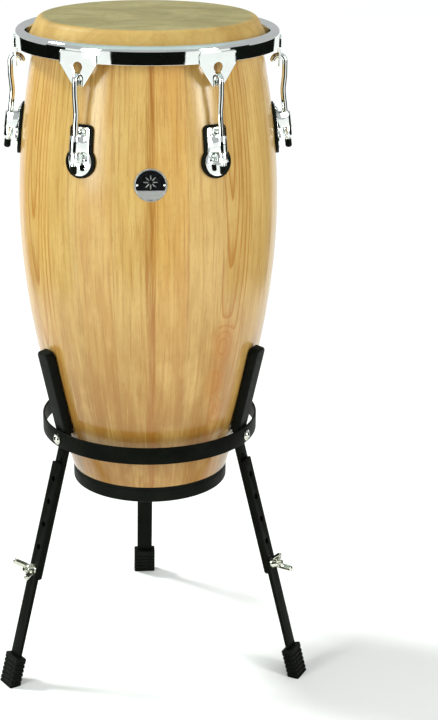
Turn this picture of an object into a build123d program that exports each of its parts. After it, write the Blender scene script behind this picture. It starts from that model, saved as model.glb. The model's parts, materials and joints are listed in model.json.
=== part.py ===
from build123d import *
from math import acos, atan2, cos, degrees, hypot, radians, sin, sqrt
import os

# A conga drum standing in its three-legged basket stand.
# Millimetres, +Z up. The origin is on the floor under the drum's axis, and the badge faces -Y.
# Drum heights (names ending in _H) are counted from the drum's own bottom edge.
# Pieces that stand round the axis are drawn with outward along +X, then turned to an azimuth.

# ---- driving dimensions: drum ----
DRUM_Z = 292.0  # the drum's bottom edge above the floor
DRUM_HEIGHT = 711.0
BELLY_H = 440.0
BELLY_R = 190.8
STAVE = 11.2  # stave thickness, measured level
STAVE_COUNT = 22
STAVE_SEAM = 0.8  # azimuth of one glue line
STAVE_OUTLINE = [
    (119.0, 24.5),
    (146.3, 120.0),
    (179.1, 280.0),
    (BELLY_R, BELLY_H),
    (177.3, 600.0),
    (159.5, 699.0),
]
BOTTOM_RING_R = 118.4
BOTTOM_RING_TALL = 24.5
BOTTOM_RING_BORE = 100.6
BOTTOM_RING_FLOOR = 3.0  # rubber under the staves' ends
# the staves' end, inside the ring
STAVE_FOOT = [(101.2, BOTTOM_RING_FLOOR), (111.8, BOTTOM_RING_FLOOR), (116.4, BOTTOM_RING_TALL)]
SKIN = 2.0
BEARING_R = 149.5  # radius of the bearing edge's crest
BEARING_ROUND = 10.0

# ---- driving dimensions: head and tension hoop ----
FLESH_HOOP_R = 180.2
FLESH_HOOP_H = 673.6
FLESH_WIRE = 3.5
HOOP_R = 191.0
HOOP_SHEET = 2.8
HOOP_ROLL = 8.0  # outer radius of the rolled top edge
HOOP_ROLL_H = 687.0
HOOP_LOW_H = 669.7
HOOP_LIP_H = 677.9
EAR_TOP_H = 685.5
EAR_LOW_H = 637.5
EAR_HALF_TOP = 29.5
EAR_HALF_LOW = 8.3
KEYHOLE_H = 664.0
KEYHOLE_R = 7.0
KEYHOLE_SLOT = 9.0
HOOK_SEAT_H = 648.5

# ---- driving dimensions: tuning lugs ----
LUG_AZIMUTHS = {
    "front_left": -30.0,
    "front_right": 30.0,
    "side_left": -90.0,
    "side_right": 90.0,
    "rear_left": -150.0,
    "rear_right": 150.0,
}
LUG_H = 548.0
LUG_R = 184.4  # shell radius at the lug's middle
LUG_LEAN = 7.2  # degrees, the shell's slope there
GASKET = 3.0
LUG_PLATE = 2.2
PLATE_HALF = 14.5
PLATE_TOP = 32.0
DISC_R = 19.5
DISC_DROP = 16.0
GASKET_MARGIN = 3.5
STRAP_LOW = -1.0
STRAP_TALL = 21.0
STRAP_R = 7.2
STRAP_SHEET = 2.2
STRAP_FOOT = 12.4
ROD_OFF = 18.75  # rod axis above the shell
ROD_R = 4.0
HOOK_R = 9.0
HOOK_H = 644.0
ROD_KNEES = [(198.6, 624.0), (196.5, 602.0)]  # the two bends under the hook
WASHER = 2.0
NUT_TALL = 13.5
NUT_FLATS = 12.5
TIP_GAP = 4.3  # bare thread between nut and rubber tip
TIP_TALL = 12.2
TIP_R = 4.9
THREAD_FIT = 0.05
LUG_BOLT_R = 2.5
LUG_BOLT_HOLE_R = 2.75
LUG_BOLT_HEAD = (5.2, 3.2)  # dome radius and height
LUG_BOLT_PLACES = [(0.0, 25.0), (-9.5, -12.5), (9.5, -12.5)]
BACKING_SINK = [1.1, 1.3, 1.3]  # each inner washer's distance from the shell's inside, at its middle
BACKING_WASHER = (6.5, 1.2)  # radius and thickness
BACKING_NUT = (8.0, 4.4)  # across flats and height
BACKING_END = 1.6  # bolt past its nut

# ---- driving dimensions: badge ----
BADGE_R = 23.0
BADGE_H = 505.0
BADGE_SHELL_R = 188.1  # shell radius at the badge's middle
BADGE_AZIMUTH = 0.9
BADGE_SHEET = 1.0
BADGE_PIN_OFF = 19.0
BADGE_PIN_R = 0.9
BADGE_PIN_HEAD = (1.8, 1.0)

# ---- driving dimensions: stand ----
STAND_TURN = 2.4  # the drum is set into the stand this far round
LEG_AZIMUTHS = {"left": STAND_TURN - 60.0, "right": STAND_TURN + 60.0, "rear": STAND_TURN + 180.0}
RING_R = 164.4
RING_SHEET = 3.0
RING_Z = 371.9
RING_TALL = 25.9
BAR_WIDE = 25.0
BAR_THICK = 5.0
BOLT_Z = 383.5
FLAT_HALF = 7.8  # half the upright stretch of bar that bolts to the ring
FLAT_R = 150.4
LEG_LEAN = 15.1  # degrees
ARM_LEAN = 12.8
ARM_TOP_Z = 519.0
BAR_END_Z = 164.5
BEND_R = 12.0
SLEEVE_WIDE = 30.0
SLEEVE_THICK = 14.7
SLEEVE_OVER = 7.0  # rubber past the bar's end
SLEEVE_ROUND = 9.0
RING_BOLT_R = 3.0
RING_BOLT_HEAD = (6.5, 4.2)
RING_WASHER = (8.5, 1.2)
RING_SPACER_R = 6.5
RING_NUT = (10.0, 5.0)
RING_BOLT_END = 0.6  # bolt past its nut
LEG_TOP_Z = 343.5
HOLE_FIRST = 25.0
HOLE_PITCH = 36.5
HOLE_COUNT = 5
HOLE_R = 4.5
CLAMP_BOLT_R = 4.0
CLAMP_BOLT_HEAD = (8.0, 4.0)
CLAMP_BOLT_END = 17.6  # bolt past the leg
CLAMP_WASHER = (8.5, 1.4)
STOP_RIVET = (4.2, 3.0)
STOP_RIVET_GAP = 4.6  # rivet's middle above the sliding leg's top
SLOT_CLEARANCE = 0.3
FOOT_WIDE = 35.0
FOOT_THICK = 18.0
FOOT_TALL = 46.0
FOOT_RIBS = 6
FOOT_GROOVE = 1.5
LEG_END_Z = 14.0
WING_SEAT = 1.6  # nut's face above the sliding leg
WING_HUB = (8.6, 11.0)  # foot radius and height
WING_THICK = 6.2
WING_WEB = 2.2  # metal left between a wing's two dished faces
WING_RIM = 1.5
WING_TIP_ROUND = 1.9
WING_UNDER = [(5.5, 0.8), (11.5, 3.5), (19.5, 13.0), (24.0, 20.5)]
WING_OVER = [(22.0, 24.3), (16.5, 23.0), (9.5, 14.0), (5.5, 11.0)]
WING_ANGLES = {"left": -16.0, "right": -52.0, "rear": 30.0}  # how each wing nut was left, degrees off level

LEG_PACK = BAR_THICK * 2  # fixed bar inside, sliding leg outside
LEG_GAP = 0.08


# ---- small helpers ----
def turn(shape, azimuth):
    """Turn a piece drawn outward along +X to an azimuth counted from -Y towards +X."""
    return Rot(0, 0, azimuth - 90.0) * shape


def ring_of(section):
    """Revolve a closed outline drawn as (radius, drum height) into a ring at the drum's place."""
    return Pos(0, 0, DRUM_Z) * revolve(Plane.XZ * section, Axis.Z)


def hexagon(flats):
    return RegularPolygon(flats / 2, 6, major_radius=False)


def dome(radius, tall):
    """A domed head standing on its flat face, apex along +Z."""
    ball = (radius**2 + tall**2) / (2 * tall)
    return Pos(0, 0, tall - ball) * Sphere(ball) & Pos(0, 0, tall / 2) * Box(3 * radius, 3 * radius, tall)


def cylinder_up(radius, low, high):
    """A cylinder on the local Z axis from low to high."""
    return Pos(0, 0, (low + high) / 2) * Cylinder(radius, high - low)


# ---- shell ----
def stave_line(inset, last):
    """The shell's outline moved in by a level distance, ending at drum height last."""
    points = [(r - inset, h) for r, h in STAVE_OUTLINE[:-1]]
    return Spline(*points, (STAVE_OUTLINE[-1][0] - inset, last))


def stave_shell():
    """Tapered, curved staves glued edge to edge, with the lugs' bolt holes drilled through."""
    crest_h = DRUM_HEIGHT - SKIN
    edge_h = crest_h - BEARING_ROUND
    inner_r = STAVE_OUTLINE[-1][0] - STAVE
    outer = stave_line(0, edge_h)
    over = CenterArc((BEARING_R, edge_h), BEARING_ROUND, 0, 90)
    inner = stave_line(STAVE, edge_h)
    crest = Polyline((BEARING_R, crest_h), (inner_r, crest_h - 1.5), inner @ 1)
    foot = Polyline(inner @ 0, *STAVE_FOOT, outer @ 0)
    section = Plane.XZ * make_face(outer + over + crest + inner + foot)
    wide = 360.0 / STAVE_COUNT
    stave = Pos(0, 0, DRUM_Z) * revolve(section, Axis.Z, revolution_arc=wide)
    drills = [lug_plane() * (Pos(u, v) * Cylinder(LUG_BOLT_HOLE_R, 60)) for u, v in LUG_BOLT_PLACES]
    staves = []
    for i in range(STAVE_COUNT):
        seam = STAVE_SEAM + i * wide
        near = [a for a in LUG_AZIMUTHS.values() if abs((seam + wide / 2 - a + 180) % 360 - 180) < wide]
        staves.append(turn(stave, seam) - [turn(drill, a) for a in near for drill in drills])
    return staves


def shell_block(grow=0.0):
    """The solid inside the shell's outer surface, grown outward, for fitting pieces to its curve."""
    outer = stave_line(-grow, STAVE_OUTLINE[-1][1])
    rest = Polyline(outer @ 1, (0, STAVE_OUTLINE[-1][1]), (0, STAVE_OUTLINE[0][1]), outer @ 0)
    # turned, so that the surface's own seam is clear of the pieces fitted at +X
    return Rot(0, 0, 180) * ring_of(make_face(outer + rest))


def bottom_ring():
    """Rubber ring moulded round the staves' lower end."""
    top = BOTTOM_RING_TALL
    outside = [(BOTTOM_RING_R - 2, 0), (BOTTOM_RING_R, 2), (BOTTOM_RING_R, top - 1), (BOTTOM_RING_R - 1, top)]
    inside = [STAVE_FOOT[2], STAVE_FOOT[1], (BOTTOM_RING_BORE, BOTTOM_RING_FLOOR)]
    section = Polyline((BOTTOM_RING_BORE, 0), *outside, *inside, close=True)
    return ring_of(make_face(section))


# ---- head ----
def collar_angle():
    """Direction, from the bearing edge's centre, in which the collar leaves the round."""
    edge_h = DRUM_HEIGHT - SKIN - BEARING_ROUND
    across, down = FLESH_HOOP_R - BEARING_R, FLESH_HOOP_H - edge_h
    return degrees(atan2(down, across) + acos((BEARING_ROUND + SKIN + FLESH_WIRE) / hypot(across, down)))


def drumhead_skin():
    edge_h = DRUM_HEIGHT - SKIN - BEARING_ROUND
    away = collar_angle()
    round_out = CenterArc((BEARING_R, edge_h), BEARING_ROUND + SKIN, away, 90 - away)
    round_in = CenterArc((BEARING_R, edge_h), BEARING_ROUND, away, 90 - away)
    tuck = 212.0  # how far the skin wraps round the flesh hoop, degrees
    wrap_in = CenterArc((FLESH_HOOP_R, FLESH_HOOP_H), FLESH_WIRE, away + 180, tuck)
    wrap_out = CenterArc((FLESH_HOOP_R, FLESH_HOOP_H), FLESH_WIRE + SKIN, away + 180, tuck)
    section = Polyline(round_out @ 1, (0, DRUM_HEIGHT), (0, DRUM_HEIGHT - SKIN), round_in @ 1)
    section += round_out + round_in + wrap_in + wrap_out
    section += [Line(round_out @ 0, wrap_in @ 0), Line(round_in @ 0, wrap_out @ 0)]
    section += Line(wrap_in @ 1, wrap_out @ 1)
    return ring_of(make_face(section))


def flesh_hoop():
    return ring_of(Pos(FLESH_HOOP_R, FLESH_HOOP_H) * Circle(FLESH_WIRE))


# ---- tension hoop ----
def hoop_band():
    mid = HOOP_R - HOOP_ROLL
    over = CenterArc((mid, HOOP_ROLL_H), HOOP_ROLL, 0, 180)
    under = CenterArc((mid, HOOP_ROLL_H), HOOP_ROLL - HOOP_SHEET, 0, 180)
    band = Polyline(over @ 0, (HOOP_R, HOOP_LOW_H), (HOOP_R - HOOP_SHEET, HOOP_LOW_H), under @ 0)
    lip_r = mid - HOOP_ROLL
    lip = Polyline(over @ 1, (lip_r, HOOP_LIP_H), (lip_r + HOOP_SHEET, HOOP_LIP_H), under @ 1)
    return ring_of(make_face(over + under + band + lip))


def ear():
    """A flat ear with its keyhole, welded to the band."""
    half = [(EAR_HALF_LOW, EAR_LOW_H), (EAR_HALF_TOP, HOOP_LOW_H - 1.5), (EAR_HALF_TOP, EAR_TOP_H)]
    points = half + [(-u, h) for u, h in reversed(half)]
    outline = make_face(Polyline(*points, close=True))
    outline = fillet(outline.vertices().group_by(Axis.Y)[-1], 5.0)
    outline = fillet(outline.vertices().group_by(Axis.Y)[0], 2.5)
    slot_low = HOOK_SEAT_H + KEYHOLE_SLOT / 2
    keyhole = Pos(0, KEYHOLE_H) * Circle(KEYHOLE_R) + Pos(0, slot_low) * Circle(KEYHOLE_SLOT / 2)
    keyhole += Pos(0, (slot_low + KEYHOLE_H) / 2) * Rectangle(KEYHOLE_SLOT, KEYHOLE_H - slot_low)
    face_plane = Plane(origin=(HOOP_R, 0, DRUM_Z), x_dir=(0, 1, 0), z_dir=(1, 0, 0))
    return extrude(face_plane * (outline - keyhole), -HOOP_SHEET)


def tension_hoop():
    hoop = hoop_band()
    keyway = Pos(HOOP_R, 0, DRUM_Z + KEYHOLE_H) * Rot(0, 90, 0) * Cylinder(KEYHOLE_R, 30)
    for azimuth in LUG_AZIMUTHS.values():
        hoop = hoop - turn(keyway, azimuth) + turn(ear(), azimuth)
    return hoop


# ---- tuning lugs ----
def lug_plane():
    """Local frame on the shell at a lug: x across, y up along the shell, z outward."""
    lean = radians(LUG_LEAN)
    return Plane(origin=(LUG_R, 0, DRUM_Z + LUG_H), x_dir=(0, 1, 0), z_dir=(cos(lean), 0, sin(lean)))


def lug_outline(margin):
    stem_low, stem_high = -DISC_DROP, PLATE_TOP + margin
    stem = Pos(0, (stem_low + stem_high) / 2) * Rectangle(2 * (PLATE_HALF + margin), stem_high - stem_low)
    stem = fillet(stem.vertices().group_by(Axis.Y)[-1], 4.0 + margin)
    return stem + Pos(0, -DISC_DROP) * Circle(DISC_R + margin)


def lug_bolt_holes():
    return [Pos(u, v) * Circle(LUG_BOLT_HOLE_R) for u, v in LUG_BOLT_PLACES]


def lug_gasket():
    pad = extrude(Pos(0, 0, -5) * (lug_outline(GASKET_MARGIN) - lug_bolt_holes()), GASKET + 5)
    return lug_plane() * pad - shell_block()


def strap_outline(radius, foot):
    """Round over the rod, straight down to a foot on the plate."""
    base = GASKET + LUG_PLATE
    eye = Pos(0, ROD_OFF) * Circle(radius)
    return make_hull(eye.edges() + [Line((-foot, base), (foot, base))])


def lug_plate():
    plate = extrude(Pos(0, 0, GASKET) * (lug_outline(0) - lug_bolt_holes()), LUG_PLATE)
    loop = strap_outline(STRAP_R, STRAP_FOOT)
    loop -= strap_outline(STRAP_R - STRAP_SHEET, STRAP_FOOT - STRAP_SHEET)
    upright = Plane(origin=(0, STRAP_LOW, 0), x_dir=(1, 0, 0), z_dir=(0, -1, 0))
    strap = extrude(upright * loop, -STRAP_TALL)
    return lug_plane() * (plate + strap)


def lug_bolts():
    """Dome heads outside, shanks through the shell, all six lugs' bolts."""
    head_z = GASKET + LUG_PLATE
    bolts = []
    for (u, v), sink in zip(LUG_BOLT_PLACES, BACKING_SINK):
        end = -STAVE - sink - BACKING_WASHER[1] - BACKING_NUT[1] - BACKING_END
        bolt = Pos(0, 0, head_z) * dome(*LUG_BOLT_HEAD) + cylinder_up(LUG_BOLT_R, end, head_z)
        bolts.append(lug_plane() * (Pos(u, v) * bolt))
    return [turn(b, a) for a in LUG_AZIMUTHS.values() for b in bolts]


def backing(shape):
    """A copy of the piece on every lug bolt, inside the shell."""
    places = [Pos(u, v, -STAVE - sink) for (u, v), sink in zip(LUG_BOLT_PLACES, BACKING_SINK)]
    return [turn(lug_plane() * place * shape, a) for a in LUG_AZIMUTHS.values() for place in places]


def backing_washers():
    radius, thick = BACKING_WASHER
    return backing(cylinder_up(radius, -thick, 0) - cylinder_up(LUG_BOLT_R + 0.1, -thick - 1, 1))


def backing_nuts():
    flats, tall = BACKING_NUT
    nut = extrude(hexagon(flats) - Circle(LUG_BOLT_R), tall)
    return backing(Pos(0, 0, -BACKING_WASHER[1] - tall - 0.1) * nut)


# ---- tuning rods ----
def rod_plane():
    """Local frame on the rod's lower axis, level with the lug's middle: z points up the rod."""
    lean = radians(LUG_LEAN)
    foot = (LUG_R + ROD_OFF * cos(lean), 0, DRUM_Z + LUG_H + ROD_OFF * sin(lean))
    return Plane(origin=foot, x_dir=(0, 1, 0), z_dir=(-sin(lean), 0, cos(lean)))


def nut_top():
    return STRAP_LOW - WASHER


def tip_top():
    return nut_top() - NUT_TALL - TIP_GAP


def tension_rod():
    """J hook, two soft knees, and a straight lower end that carries the thread."""
    crest = (HOOP_R - HOOP_SHEET / 2, DRUM_Z + HOOK_H)
    lean = radians(LUG_LEAN)
    end = rod_plane().from_local_coords(Vector(0, 0, tip_top() - TIP_TALL + 4.0))
    hook = Plane.XZ * CenterArc(crest, HOOK_R, 0, 172)
    knees = [(r, 0, DRUM_Z + h) for r, h in ROD_KNEES]
    # the lower knee lies on the rod's axis
    axis_foot = rod_plane().origin
    rise = (knees[1][2] - axis_foot.Z) / cos(lean)
    knees[1] = (axis_foot.X - rise * sin(lean), 0, knees[1][2])
    stem = FilletPolyline(hook @ 0, knees[0], knees[1], end, radius=60.0)
    path = Wire(hook.edges() + stem.edges())
    section = Plane(origin=end, z_dir=(sin(lean), 0, -cos(lean))) * Circle(ROD_R)
    return sweep(section, path)


def rod_tip():
    """Rubber cap on the rod's lower end."""
    top, low = tip_top(), tip_top() - TIP_TALL
    cap = fillet(cylinder_up(TIP_R, low, top).edges().group_by(Axis.Z)[0], 3.5)
    return rod_plane() * (cap - cylinder_up(ROD_R, low + 4.0, top + 1))


def tuning_nut():
    high = nut_top()
    low = high - NUT_TALL
    body = Pos(0, 0, low) * extrude(hexagon(NUT_FLATS), NUT_TALL)
    # both ends are turned down to a round collar
    round_off = cylinder_up(NUT_FLATS * 0.575, low, high)
    round_off = chamfer(round_off.edges().group_by(Axis.Z)[0], 3.2, 1.6)
    return rod_plane() * ((body & round_off) - cylinder_up(ROD_R + THREAD_FIT, low - 1, high + 1))


def tuning_washer():
    return rod_plane() * (cylinder_up(7.6, nut_top(), STRAP_LOW) - cylinder_up(ROD_R + 0.5, nut_top() - 1, 1))


# ---- badge ----
def badge_plane():
    return Plane(origin=(BELLY_R, 0, DRUM_Z + BADGE_H), x_dir=(0, 1, 0), z_dir=(1, 0, 0))


def on_badge_pins(shape):
    """A copy at each badge pin, drawn on Z with the shell's surface at zero."""
    swing = degrees(atan2(BADGE_PIN_OFF, BADGE_SHELL_R))
    at = Pos(BADGE_SHELL_R, 0, DRUM_Z + BADGE_H) * Rot(0, 90, 0)
    return [Rot(0, 0, a) * at * shape for a in (-swing, swing)]


def badge():
    disc = badge_plane() * (Pos(0, 0, -5) * Cylinder(BADGE_R, 20))
    plate = (disc & shell_block(BADGE_SHEET)) - shell_block()
    for hole in on_badge_pins(cylinder_up(BADGE_PIN_R + 0.1, -5, 5)):
        plate -= hole
    return turn(plate, BADGE_AZIMUTH)


def badge_pins():
    """Two small domed pins, standing on the shell through the badge."""
    seat = BADGE_SHEET + 0.2
    pin = cylinder_up(BADGE_PIN_R, 0.1, seat) + Pos(0, 0, seat) * dome(*BADGE_PIN_HEAD)
    return [turn(p, BADGE_AZIMUTH) for p in on_badge_pins(pin)]


# ---- stand ----
def stand_ring():
    band = Pos(0, 0, RING_Z) * extrude(Circle(RING_R) - Circle(RING_R - RING_SHEET), RING_TALL)
    hole = Pos(RING_R, 0, BOLT_Z) * Rot(0, 90, 0) * Cylinder(RING_BOLT_R + 0.3, 20)
    return band - [turn(hole, a) for a in LEG_AZIMUTHS.values()]


def leg_point(z, off=0.0):
    """A point on the leg's lean at height z, moved off outward, square to the leg."""
    lean = radians(LEG_LEAN)
    low_z = BOLT_Z - FLAT_HALF
    r = FLAT_R + (low_z - z) * sin(lean) / cos(lean)
    return Vector(r + off * cos(lean), 0, z + off * sin(lean))


def arm_point(z, off=0.0):
    lean = radians(ARM_LEAN)
    high_z = BOLT_Z + FLAT_HALF
    r = FLAT_R + (z - high_z) * sin(lean) / cos(lean)
    return Vector(r + off * cos(lean), 0, z - off * sin(lean))


def leg_plane(z, off=0.0):
    """Local frame on the leg: x across, y up the leg, z outward."""
    lean = radians(LEG_LEAN)
    return Plane(origin=leg_point(z, off), x_dir=(0, 1, 0), z_dir=(cos(lean), 0, sin(lean)))


def arm_plane(z, off=0.0):
    """Local frame on the arm: x across, y up the arm, z outward."""
    lean = radians(ARM_LEAN)
    return Plane(origin=arm_point(z, off), x_dir=(0, 1, 0), z_dir=(cos(lean), 0, -sin(lean)))


def clamp_z():
    """Height, on the fixed bar's middle line, of the clamp bolt."""
    lean = radians(LEG_LEAN)
    along = HOLE_FIRST + (HOLE_COUNT - 1) * HOLE_PITCH
    return LEG_TOP_Z - along * cos(lean)


def post():
    """Flat bar: cradle arm, upright stretch on the ring, and the fixed half of the leg."""
    points = [arm_point(ARM_TOP_Z), (FLAT_R, 0, BOLT_Z + FLAT_HALF), (FLAT_R, 0, BOLT_Z - FLAT_HALF),
              leg_point(BAR_END_Z)]
    path = FilletPolyline(*points, radius=BEND_R)
    lean = radians(ARM_LEAN)
    start = Plane(origin=points[0], x_dir=(0, 1, 0), z_dir=(-sin(lean), 0, -cos(lean)))
    bar = sweep(start * Rectangle(BAR_WIDE, BAR_THICK), Wire(path.edges()))
    corner = [e for e in bar.edges() if abs(e.length - BAR_THICK) < 0.01 and e.center().Z < BAR_END_Z + 20]
    bar = chamfer(corner, 4.0)
    bar -= Pos(FLAT_R, 0, BOLT_Z) * Rot(0, 90, 0) * Cylinder(RING_BOLT_R + 0.3, 20)
    return bar - leg_plane(clamp_z()) * Cylinder(CLAMP_BOLT_R + 0.3, 20)


def arm_sleeve(bar):
    """Moulded rubber boot over the arm, from the ring to past the arm's end."""
    low_z = BOLT_Z + FLAT_HALF + 2.0
    tall = (ARM_TOP_Z - low_z) / cos(radians(ARM_LEAN)) + SLEEVE_OVER
    block = extrude(Pos(0, tall / 2) * Rectangle(SLEEVE_WIDE, tall), SLEEVE_THICK)
    block = Pos(0, 0, -SLEEVE_THICK / 2) * block
    top_corners = block.edges().filter_by(Axis.Z).group_by(Axis.Y)[-1]
    block = fillet(top_corners, SLEEVE_ROUND)
    long_edges = block.edges().filter_by(Axis.Y)
    block = fillet(long_edges, 2.5)
    return arm_plane(low_z) * block - bar


def ring_bolts():
    """Dome-headed bolts through ring, spacer and post."""
    washer = RING_WASHER[1]
    length = RING_R - FLAT_R + BAR_THICK / 2 + 2 * washer + RING_NUT[1] + RING_BOLT_END
    bolt = dome(*RING_BOLT_HEAD) + cylinder_up(RING_BOLT_R, -length, 0)
    return on_ring_bolt(bolt, RING_R + washer)


def on_ring_bolt(shape, radius):
    """Pieces threaded on the ring bolts, drawn on Z and standing outward from a radius."""
    return [turn(Pos(radius, 0, BOLT_Z) * Rot(0, 90, 0) * shape, a) for a in LEG_AZIMUTHS.values()]


def ring_washers():
    radius, thick = RING_WASHER
    washer = cylinder_up(radius, 0, thick) - cylinder_up(RING_BOLT_R + 0.2, -1, thick + 1)
    return on_ring_bolt(washer, RING_R) + on_ring_bolt(washer, FLAT_R - BAR_THICK / 2 - thick)


def ring_spacers():
    gap = RING_R - RING_SHEET - FLAT_R - BAR_THICK / 2
    # the ring's inner face is round, so the spacer stops just short of it
    spacer = cylinder_up(RING_SPACER_R, 0, gap - 0.2) - cylinder_up(RING_BOLT_R + 0.2, -1, gap + 1)
    return on_ring_bolt(spacer, FLAT_R + BAR_THICK / 2)


def ring_nuts():
    flats, tall = RING_NUT
    nut = extrude(hexagon(flats) - Circle(RING_BOLT_R), tall)
    return on_ring_bolt(nut, FLAT_R - BAR_THICK / 2 - RING_WASHER[1] - tall)


def stop_rivets():
    """Domed rivets on the fixed bars that stop the sliding legs' tops."""
    place = leg_plane(LEG_TOP_Z + STOP_RIVET_GAP, BAR_THICK / 2)
    return [turn(place * dome(*STOP_RIVET), a) for a in LEG_AZIMUTHS.values()]


def lower_leg():
    """Sliding half of the leg, outside the fixed bar, with its row of height holes."""
    lean = radians(LEG_LEAN)
    top = leg_plane(LEG_TOP_Z, BAR_THICK / 2 + LEG_GAP)
    length = (LEG_TOP_Z - LEG_END_Z) / cos(lean)
    blank = fillet((Pos(0, -length / 2) * Rectangle(BAR_WIDE, length)).vertices(), 2.0)
    last = HOLE_FIRST + (HOLE_COUNT - 1) * HOLE_PITCH
    holes = [Pos(0, -HOLE_FIRST - i * HOLE_PITCH) * Circle(HOLE_R) for i in range(HOLE_COUNT)]
    # a relief joins the holes, so that the leg can pass its clamp bolt
    relief_wide = 2 * (CLAMP_BOLT_R + SLOT_CLEARANCE)
    relief = Pos(0, -(HOLE_FIRST + last) / 2) * Rectangle(relief_wide, last - HOLE_FIRST)
    return top * extrude(blank - holes - relief, BAR_THICK - LEG_GAP)


def rubber_foot():
    """Ribbed rubber block over the sliding leg's end, with a level sole."""
    lean = radians(LEG_LEAN)
    base = Plane(origin=leg_point(0.0, BAR_THICK), x_dir=(0, 1, 0), z_dir=(-sin(lean), 0, cos(lean)))
    core = Pos(0, 0, FOOT_TALL / 2 - 10) * Box(
        FOOT_WIDE - 2 * FOOT_GROOVE, FOOT_THICK - 2 * FOOT_GROOVE, FOOT_TALL + 20)
    core = chamfer(core.edges().group_by(Axis.Z)[-1], 1.5)
    pitch = (FOOT_TALL - 2.0) / FOOT_RIBS
    block = core
    for i in range(FOOT_RIBS):
        rib = Box(FOOT_WIDE, FOOT_THICK, pitch * 0.62)
        rib = chamfer(rib.edges().filter_by(Plane.XY), 1.2)
        block += Pos(0, 0, (i + 0.62) * pitch) * rib
    block = base * block
    block &= Pos(leg_point(0.0).X, 0, 50) * Box(120, 120, 100)
    pocket = leg_plane(LEG_END_Z, BAR_THICK / 2) * (Pos(0, 40, BAR_THICK / 2) * Box(BAR_WIDE, 80, BAR_THICK))
    return block - pocket


def clamp_bolts():
    """Carriage bolts: dome head inside the post, shank out through the sliding leg."""
    place = leg_plane(clamp_z(), -BAR_THICK / 2)
    head = Rot(180, 0, 0) * dome(*CLAMP_BOLT_HEAD)
    bolt = place * (head + cylinder_up(CLAMP_BOLT_R, 0, LEG_PACK + CLAMP_BOLT_END))
    return [turn(bolt, a) for a in LEG_AZIMUTHS.values()]


def clamp_washers():
    place = leg_plane(clamp_z(), -BAR_THICK / 2)
    radius, thick = CLAMP_WASHER
    low = LEG_PACK + 0.1
    washer = cylinder_up(radius, low, low + thick) - cylinder_up(CLAMP_BOLT_R + 0.2, low - 1, low + thick + 1)
    return [turn(place * washer, a) for a in LEG_AZIMUTHS.values()]


def wing_nut(angle):
    """Hub and two raised wings with dished faces, drawn on Z, wings along X."""
    low = LEG_PACK + WING_SEAT
    hub = Pos(0, 0, low) * extrude(Circle(WING_HUB[0]), WING_HUB[1], taper=9)
    profile = make_face(Polyline(*WING_UNDER, *WING_OVER, close=True))
    profile = fillet(profile.vertices().sort_by(Axis.X)[-3:], WING_TIP_ROUND)
    dish = offset(profile, -WING_RIM)
    blade = extrude(Plane.XZ * profile, WING_THICK / 2, both=True)
    blade -= extrude(Plane.XZ * dish, WING_THICK / 2 + 1, both=True)
    blade += extrude(Plane.XZ * dish, WING_WEB / 2, both=True)
    wings = Pos(0, 0, low) * (blade + Rot(0, 0, 180) * blade)
    nut = hub + wings - cylinder_up(CLAMP_BOLT_R + THREAD_FIT, low - 1, low + 30)
    return leg_plane(clamp_z(), -BAR_THICK / 2) * (Rot(0, 0, angle) * nut)


# ---- write every node ----
os.makedirs("parts", exist_ok=True)


def write(name, pieces):
    """One STEP a node: one solid, or a group of separate solids."""
    solids = pieces if isinstance(pieces, list) else [pieces]
    solids = [s for piece in solids for s in piece.solids()]
    shape = solids[0] if len(solids) == 1 else Compound(children=solids)
    shape.label = name
    export_step(shape, f"parts/{name}.step")


write("stave_shell", stave_shell())
write("bottom_ring", bottom_ring())
write("drumhead_skin", drumhead_skin())
write("flesh_hoop", flesh_hoop())
write("tension_hoop", tension_hoop())

gasket, plate, rod, tip, nut = lug_gasket(), lug_plate(), tension_rod(), rod_tip(), tuning_nut()
for lug_name, lug_azimuth in LUG_AZIMUTHS.items():
    write(f"lug_plate_{lug_name}", turn(plate, lug_azimuth))
    write(f"tension_rod_{lug_name}", turn(rod, lug_azimuth))
    write(f"rod_tip_{lug_name}", turn(tip, lug_azimuth))
    write(f"tuning_nut_{lug_name}", turn(nut, lug_azimuth))
write("lug_gaskets", [turn(gasket, a) for a in LUG_AZIMUTHS.values()])
write("tuning_washers", [turn(tuning_washer(), a) for a in LUG_AZIMUTHS.values()])
write("lug_bolts", lug_bolts())
write("lug_backing_washers", backing_washers())
write("lug_backing_nuts", backing_nuts())
write("badge", badge())
write("badge_pins", badge_pins())

write("stand_ring", stand_ring())
bar = post()
for leg_name, leg_azimuth in LEG_AZIMUTHS.items():
    write(f"stand_post_{leg_name}", turn(bar, leg_azimuth))
    write(f"arm_sleeve_{leg_name}", turn(arm_sleeve(bar), leg_azimuth))
    write(f"lower_leg_{leg_name}", turn(lower_leg(), leg_azimuth))
    write(f"rubber_foot_{leg_name}", turn(rubber_foot(), leg_azimuth))
    write(f"wing_nut_{leg_name}", turn(wing_nut(WING_ANGLES[leg_name]), leg_azimuth))
write("ring_bolts", ring_bolts())
write("ring_washers", ring_washers())
write("ring_spacers", ring_spacers())
write("ring_nuts", ring_nuts())
write("stop_rivets", stop_rivets())
write("clamp_bolts", clamp_bolts())
write("clamp_washers", clamp_washers())
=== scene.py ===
import json
from math import acos, asin, atan2, cos, degrees, hypot, pi, radians, sin, sqrt, tan

import bmesh
import bpy
import numpy as np
from mathutils import Matrix, Vector


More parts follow.
